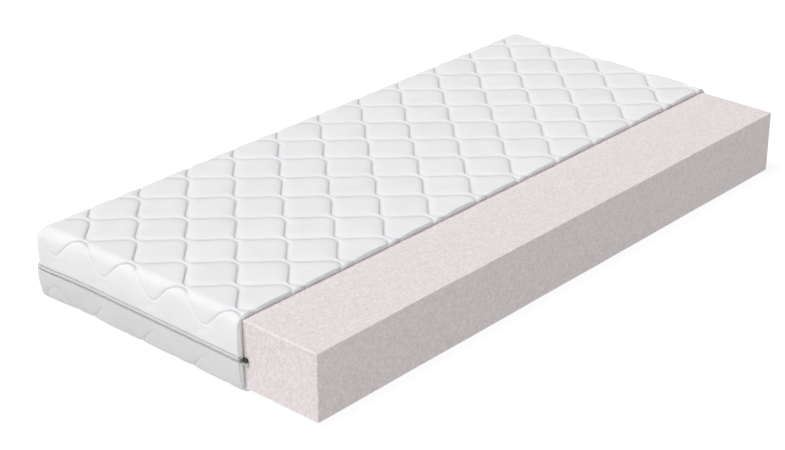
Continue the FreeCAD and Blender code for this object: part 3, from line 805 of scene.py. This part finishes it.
def round_path(step, tail=0.0):
    """Stations round the cover's walls: plan anchors and outward directions, and the run along them."""
    front = CUT - tail
    walls = np.linspace(front, PANEL_Y, max(2, round((PANEL_Y - front) / step)))
    far_walls = np.linspace(PANEL_Y, CUT, max(2, round((PANEL_Y - CUT) / step)))
    backs = np.linspace(-PANEL_X, PANEL_X, round(2 * PANEL_X / step))
    turn = np.linspace(0, math.pi / 2, max(6, round(0.06 / step)))[1:-1]
    across, along = np.cos(turn), np.sin(turn)
    legs = ((-PANEL_X, walls, -1.0, 0.0), (-PANEL_X, PANEL_Y, -across, along), (backs, PANEL_Y, 0.0, 1.0),
            (PANEL_X, PANEL_Y, across[::-1], along[::-1]), (PANEL_X, far_walls, 1.0, 0.0))
    stations = np.concatenate([np.stack(np.broadcast_arrays(*leg), 1) for leg in legs])
    anchor, way = stations[:, :2], stations[:, 2:]
    middle = anchor + way * (CORE_FACE + 0.006)
    run = np.concatenate([[0], np.cumsum(np.linalg.norm(np.diff(middle, axis=0), axis=1))])
    return anchor, way, run


def sweep(path, section, swell=0.0):
    """A closed section, as (out, height) for each station and side, swept along the path, with ends."""
    anchor, way, _ = path
    out, height = section
    out = out + CORE_FACE + swell * corner_swell(anchor, way)[:, None]
    points = np.stack([anchor[:, :1] + way[:, :1] * out, anchor[:, 1:] + way[:, 1:] * out, height], 2)
    return points.reshape(-1, 3), capped(*out.shape)


def strip_section(count, out, height, bevel=0.0001):
    """A flat strip's section: low and high corners eased by a bevel."""
    (a, b), (low, high) = out, height
    corners = ([a, a + bevel, b - bevel, b, b, b - bevel, a + bevel, a],
               [low + bevel, low, low, low + bevel, high - bevel, high, high, high - bevel])
    return tuple(np.tile(values, (count, 1)) for values in corners)


ROLL = (ROLL_HIGH.z - ROLL_LOW.z) / 2
ROLL_OUT = ROLL_HIGH.x - ROLL - CORE_HIGH.x
ROLL_UP = (ROLL_HIGH.z + ROLL_LOW.z) / 2
WRAP = 0.00045
PLIES = 0.0009  # height of the wrap's flange above the roll's middle
RIPPLE, PINCH = 0.00012, 0.00010  # slow and quick changes of the roll's radius
TWIST = 0.009  # of the filler cord, for one turn


def make_piping(materials):
    """A cloth-wrapped cord along the upper hem. The wrap's two plies run in under the hem as a flange."""
    path = round_path(0.005)
    run = path[2]
    count = len(run)
    ripple = np.sin(run * 2 * np.pi / 0.071) + 0.6 * np.sin(run * 2 * np.pi / 0.0437 + 1.3)
    pinch = PINCH * np.cos(run * 2 * np.pi / 0.011)
    size = (ROLL + WRAP + RIPPLE * ripple + pinch)[:, None]
    upper, lower = math.radians(166), math.radians(174)
    sweep_angle = np.linspace(upper, lower - 2 * math.pi, 23)
    inside_angle = np.linspace(math.radians(169.5) - 2 * math.pi, math.radians(168), 21)
    tip = np.full((count, 1), CHAIN_OUT)
    line = np.ones((count, 1))
    out = [tip, ROLL_OUT + size * np.cos(sweep_angle), tip, tip,
           ROLL_OUT + (size - WRAP) * np.cos(inside_angle), tip]
    up = [line * (PLIES + WRAP), size * np.sin(sweep_angle), line * (PLIES - WRAP), line * (PLIES - 0.00002),
          (size - WRAP) * np.sin(inside_angle), line * (PLIES + 0.00002)]
    section = (np.concatenate(out, 1), ROLL_UP + np.concatenate(up, 1))
    wrap = sweep(path, section, swell=FULLNESS["piping"])
    make_piece("piping_wrap_cloth", *wrap, materials["piping"], "upper_cover", "piping", "piping_wrap")
    twist = 2 * np.pi * run / TWIST
    angle = -2 * np.pi * np.arange(12) / 12
    size = (ROLL - 0.00035) * (1 + 0.045 * np.cos(3 * (angle[None] + twist[:, None])))
    section = (ROLL_OUT + size * np.cos(angle), ROLL_UP + size * np.sin(angle))
    cord = sweep(path, section, swell=FULLNESS["piping"])
    make_piece("piping_filler_cord", *cord, materials["filler"], "upper_cover", "filler_cord", "piping_cord")


# --- Zip

CHAIN_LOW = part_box("upper_zip_coil")[0]
LOWER_CHAIN_LOW, LOWER_CHAIN_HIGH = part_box("lower_zip_coil")
TAIL = CUT - LOWER_CHAIN_LOW.y
CHAIN_OUT = CORE_LOW.x - CHAIN_LOW.x - 0.0020
CHAIN_UP = (CHAIN_LOW.z + LOWER_CHAIN_HIGH.z) / 2
LOOP_OUT, LOOP_UP = 0.00106, 0.00127  # half sizes of a coil's loop
WAIST = 0.62  # share of them between two loops
HEM_PITCH, HEM_STITCH = 0.0034, 0.0029


def make_zip(materials):
    """Each side's tape, its coil, and the stitches that hold the tape to the hem."""
    for side, body, tail in (("upper", "upper_cover", 0.0), ("lower", "lower_cover", TAIL)):
        low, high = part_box(f"{side}_zip_tape")
        path = round_path(0.006, tail)
        out = (CHAIN_OUT - 0.0009, CHAIN_OUT - 0.0001)
        tape = sweep(path, strip_section(len(path[2]), out, (low.z, high.z)))
        make_piece(f"{side}_zip_tape_weave", *tape, materials["tape"], body, "zip_tape", f"{side}_zip_tape")
        low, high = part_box(f"{side}_zip_coil")
        path = round_path(0.00075, tail)
        loop = np.where(np.arange(len(path[2])) % 2 == 0, 1.0, WAIST)[:, None]
        angle = -2 * np.pi * np.arange(8) / 8 + np.pi / 8
        out = CHAIN_OUT + 0.0010 + loop * LOOP_OUT * np.cos(angle)
        up = (low.z + high.z) / 2 + loop * LOOP_UP * np.sin(angle)
        coil = sweep(path, (out, up))
        make_piece(f"{side}_zip_coil_loops", *coil, materials["coil"], body, "zip_coil", f"{side}_zip_coil")
        low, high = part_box(f"{side}_hem_thread")
        anchor, way, run = round_path(0.002)
        marks = np.arange(0.001, run[-1] - 0.004, HEM_PITCH)
        ends = []
        for offset in (0.0, HEM_STITCH):
            columns = [np.interp(marks + offset, run, column) for column in (*anchor.T, *way.T)]
            reach = CORE_FACE + CHAIN_OUT - 0.0012
            ends.append(np.stack([columns[0] + columns[2] * reach, columns[1] + columns[3] * reach,
                                  np.full(len(marks), (low.z + high.z) / 2)], 1))
        facing = np.stack([-columns[2], -columns[3], 0 * marks], 1)
        hem = tubes(ends[0], ends[1], facing, 0.0003)
        make_piece(f"{side}_hem_stitches", *hem, materials["thread"], body, "thread", f"{side}_hem_thread")


def slab(outline, low, high, ease):
    """A flat plate from a plan outline, with eased edges, as points (plan, plan, height) and faces."""
    outline = np.array(outline, float)
    centre = outline.mean(0)
    outward = outward_of(outline)
    if np.einsum("ij,ij->i", outward, outline - centre).sum() < 0:
        outward = -outward
    rows = [(-ease, low), (-0.3 * ease, low + 0.3 * ease), (0, low + ease),
            (0, high - ease), (-0.3 * ease, high - 0.3 * ease), (-ease, high)]
    points = [np.column_stack([outline + outward * inset, np.full(len(outline), z)]) for inset, z in rows]
    return np.concatenate(points), capped(len(rows), len(outline))


def disc(centre, radius, steps=24):
    """A round outline."""
    return [(centre[0] + radius * math.cos(2 * math.pi * k / steps),
             centre[1] + radius * math.sin(2 * math.pi * k / steps)) for k in range(steps)]


def cast(name, solids, voxel, smooth, to_place, material, body, node):
    """Fuses overlapping solids, given in millimetres, into one smooth skin, and puts it in place."""
    points, faces, count = [], [], 0
    for solid_points, solid_faces in solids:
        points.append(solid_points)
        faces += [tuple(count + p for p in face) for face in solid_faces]
        count += len(solid_points)
    mesh = bpy.data.meshes.new(name + "_rough")
    mesh.from_pydata(np.concatenate(points), [], faces)
    rough = add_object(name + "_rough", mesh)
    remesh = rough.modifiers.new("fuse", "REMESH")
    remesh.mode = "VOXEL"
    remesh.voxel_size = voxel
    ease = rough.modifiers.new("ease", "SMOOTH")
    ease.factor = 0.5
    ease.iterations = smooth
    thin = rough.modifiers.new("thin", "DECIMATE")
    thin.decimate_type = "DISSOLVE"
    thin.angle_limit = math.radians(1.5)
    graph = bpy.context.evaluated_depsgraph_get()
    fused = bpy.data.meshes.new_from_object(rough.evaluated_get(graph))
    bpy.data.objects.remove(rough)
    faces = [tuple(face.vertices) for face in fused.polygons]
    piece = make_piece(name, to_place(places_of(fused)), faces, material, body, "zip_metal", node)
    piece.data.set_sharp_from_angle(angle=math.radians(35))


def turned(solid, order):
    """A solid with its axes put in another order."""
    points, faces = solid
    return points[:, order], faces


def make_slider(metal):
    """In millimetres: out from the core, along +Y from the slider's front end, and up from the chain."""
    slider_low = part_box("zip_slider")[0]
    tab_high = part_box("zip_pull_tab")[1]
    stop_low, stop_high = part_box("zip_end_stop")
    start = Vector((CORE_LOW.x, slider_low.y, CHAIN_UP))

    def to_place(points):
        points = points / 1000
        return np.stack([start.x - points[:, 0], start.y + points[:, 1], start.z + points[:, 2]], 1)

    out_along_up, side_on = (2, 0, 1), (1, 0, 2)
    pin_along, pin_out = 2.1, 7.7
    half = [(0, 4.5), (1.6, 5.5), (3.2, 5.7), (9.8, 5.7), (11.6, 5.5), (13, 4.9), (13, 1.6)]
    shield = [*[(along, -up) for along, up in half], (12.2, 0), *half[::-1], (0, 0)]
    solids = [turned(slab(shield, 0.5, 1.7, 0.25), out_along_up),
              turned(slab(shield, 5.2, 6.4, 0.35), out_along_up)]
    for side in (-1, 1):
        edge = sorted((side * 4.5, side * 5.65))
        flange = rounded((0.8, edge[0]), (12.4, edge[1]), (0.5,) * 4)
        solids.append(turned(slab(flange, 3.1, 5.4, 0.1), out_along_up))
        edge = sorted((side * 2.9, side * 3.9))
        arch = [(pin_along - 1.15 * math.cos(t), pin_out + 1.0 * math.sin(t))
                for t in np.linspace(0.3, math.pi - 0.3, 8)]
        ear = [(0.9, 5.4), (0.9, pin_out), *arch, (3.3, pin_out), (3.3, 5.4)]
        solids.append(turned(slab(ear, edge[0], edge[1], 0.15), side_on))
    solids.append(turned(slab(rounded((9, -0.35), (13, 0.35), (0.3,) * 4), 1.5, 5.4, 0.05), out_along_up))
    solids.append(turned(slab(disc((pin_along, pin_out), 0.6), -4.1, 4.1, 0.2), side_on))
    cast("slider_casting", solids, 0.17, 2, to_place, metal, "slider", "zip_slider")

    length = (tab_high.y - slider_low.y) * 1000
    steps = 9
    outer = np.array(rounded((pin_along, -2.6), (length, 2.6), (0.3, 2.1, 2.1, 0.3), steps))
    hole = np.array(rounded((length - 5.2, -1.15), (length - 1.5, 1.15), (1.1,) * 4, steps))
    narrow = hole * 0.90 + hole.mean(0) * 0.10
    eased = outer + (outer.mean(0) - outer) * 0.06
    rows = ((hole, 7.30), (narrow, 7.5), (narrow, 7.9), (hole, 8.10),
            (eased, 8.18), (outer, 7.95), (outer, 7.45), (eased, 7.22))
    plate, faces = looped([np.column_stack([np.full(len(loop), out), loop]) for loop, out in rows])
    cut_back = plate[:, 1] < 3.0
    plate[cut_back, 1] = np.maximum(plate[cut_back, 1], 2.85)
    turn = np.arange(24) * np.pi / 12
    eye = looped([np.column_stack([pin_out + radius * np.sin(turn), pin_along + radius * np.cos(turn),
                                   np.full(24, up)])
                  for radius, up in ((1.0, -2.6), (1.0, 2.6), (0.69, 2.6), (0.69, -2.6))])
    solids = [(plate, faces), eye]
    cast("pull_tab_casting", solids, 0.11, 1, to_place, metal, "pull", "zip_pull_tab")

    low = ((CORE_LOW.x - stop_high.x) * 1000, (stop_low.z - CHAIN_UP) * 1000)
    high = ((CORE_LOW.x - stop_low.x) * 1000, (stop_high.z - CHAIN_UP) * 1000)
    along = ((stop_low.y - slider_low.y) * 1000, (stop_high.y - slider_low.y) * 1000)
    points, faces = slab(rounded(low, high, (0.6,) * 4), along[0], along[1], 0.3)
    points = to_place(points[:, (0, 2, 1)])
    make_piece("end_stop_moulding", points, faces, metal, "lower_cover", "zip_metal", "zip_end_stop")


# --- Building

materials = {
    "foam": foam_material(),
    "upper_ticking": ticking_material("quilted_knit", (0.83, 0.825, 0.835), (0.77, 0.765, 0.78)),
    # The lower lid has the same knit as the upper one, painted darker: painted shade on the lower walls.
    "lower_ticking": ticking_material("quilted_knit_lower", (0.69, 0.685, 0.695), (0.645, 0.64, 0.655)),
    "wadding": wadding_material(),
    "backing": backing_material(),
    "thread": thread_material(),
    "piping": woven_material("piping_twill", (0.62, 0.61, 0.585), (0.54, 0.53, 0.505), 0.0009),
    "filler": woven_material("filler_cotton", (0.74, 0.72, 0.68), (0.58, 0.56, 0.52), 0.0014),
    "tape": woven_material("zip_tape_weave", (0.80, 0.80, 0.79), (0.68, 0.68, 0.67), 0.0008),
    "coil": coil_material(),
    "metal": metal_material(),
}

make_foam(materials["foam"])
upper = Lid("upper", 1, UPPER_HIGH.z, UPPER_LOW.z, rim=0.026, depth=0.0086, crown=0.0010, lean=0.0, seed=SEED)
lower = Lid("lower", -1, LOWER_LOW.z, LOWER_HIGH.z, rim=0.018, depth=0.0050, crown=0.0, lean=0.0090,
            seed=SEED + 50)
for lid in (upper, lower):
    make_lid(lid, materials)
    make_quilting(lid, materials["thread"])
make_piping(materials)
make_zip(materials)
make_slider(materials["metal"])


# --- Stage: camera, light and floor

def make_camera():
    """The photo's camera, solved from the foam block's corners."""
    forward = Vector((0.6662, 0.6061, -0.4345)).normalized()
    level = forward.cross(Vector((0, 0, 1))).normalized()
    right = Matrix.Rotation(math.radians(0.325), 3, forward) @ level
    up = right.cross(forward)
    camera = add_object("camera", bpy.data.cameras.new("camera"))
    camera.data.lens = 86.1
    camera.data.sensor_width = 36
    camera.data.clip_end = 60
    turn = Matrix((right, up, -forward)).transposed()
    place = CORE_LOW + Vector((-2.705, -2.703, 2.367))
    camera.matrix_world = Matrix.Translation(place) @ turn.to_4x4()
    bpy.context.scene.camera = camera


def make_floor():
    """A white sheet that glows a little, so that the sample stands on pure white."""
    mesh = bpy.data.meshes.new("floor")
    mesh.from_pydata([(-30, -30, -0.0004), (30, -30, -0.0004), (30, 30, -0.0004), (-30, 30, -0.0004)],
                     [], [(0, 1, 2, 3)])
    shader = Shader("light_table", 0.9, Specular_IOR_Level=0.0, Base_Color=(0.16, 0.16, 0.16, 1),
                    Emission_Color=(1, 1, 1, 1), Emission_Strength=0.88)
    mesh.materials.append(shader.material)
    add_object("floor", mesh)


def make_light():
    """A high sun from the photo's left, weak light from all round, and a soft lamp on the cut corner."""
    world = bpy.data.worlds.new("studio")
    bpy.context.scene.world = world
    world.use_nodes = True
    background = world.node_tree.nodes["Background"].inputs
    background["Color"].default_value = (1, 1, 1, 1)
    background["Strength"].default_value = 0.19
    for name, energy, angle, aim in (("key", 2.50, 20, (-0.78, 0.22, 1.60)),
                                     ("overhead", 0.60, 100, (0, 0, 1))):
        lamp = add_object(name, bpy.data.lights.new(name, "SUN"))
        lamp.data.energy = energy
        lamp.data.angle = math.radians(angle)
        lamp.matrix_world = Vector(aim).to_track_quat("Z", "Y").to_matrix().to_4x4()
    fill = add_object("fill", bpy.data.lights.new("fill", "AREA"))
    fill.data.energy = 3.2
    fill.data.size = 1.0
    place, aim = Vector((-2.5, -1.9, 0.50)), Vector((-1.0, -0.45, 0.10))
    turn = (place - aim).to_track_quat("Z", "Y").to_matrix().to_4x4()
    fill.matrix_world = Matrix.Translation(place) @ turn
    bpy.context.scene.view_settings.view_transform = "Standard"


make_camera()
make_floor()
make_light()
